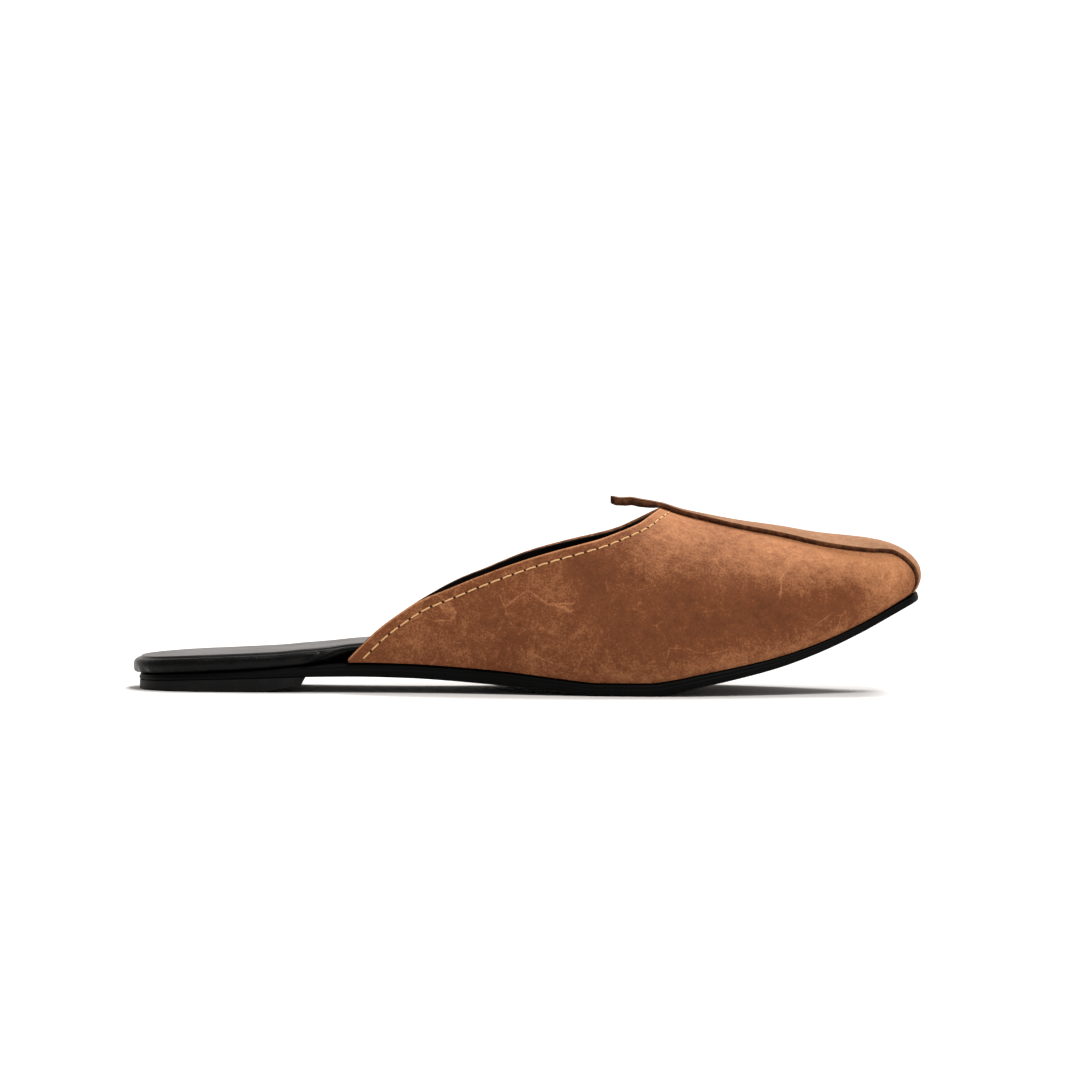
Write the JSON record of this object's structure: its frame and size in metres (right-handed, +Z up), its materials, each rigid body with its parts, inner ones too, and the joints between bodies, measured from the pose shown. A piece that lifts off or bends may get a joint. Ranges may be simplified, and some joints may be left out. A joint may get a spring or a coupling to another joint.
{
  "type": "mule shoe",
  "caption": "Flat backless mule for the right foot with an elongated blunt toe, a one-piece leather vamp, a raised centre strip with a free tab, a padded footbed and a low heel.",
  "frame": {"origin": "on the floor under the middle of the shoe's bounding box", "axes": "+X from heel to toe, +Y to the inner side of the foot, +Z up"},
  "size_m": [0.2624, 0.0858, 0.0646],
  "materials": {
    "outsole": "satin",
    "heel_lift": "matte",
    "footbed": "gloss",
    "sock": "satin",
    "upper": "waxed nubuck",
    "centre_strip": "waxed nubuck with raw edges"
  },
  "bodies": {
    "root": {"outsole": "outsole", "heel_lift": "heel_lift", "footbed": "footbed", "sock": "sock", "upper": "upper", "centre_strip": "centre_strip"}
  },
  "joints": []
}
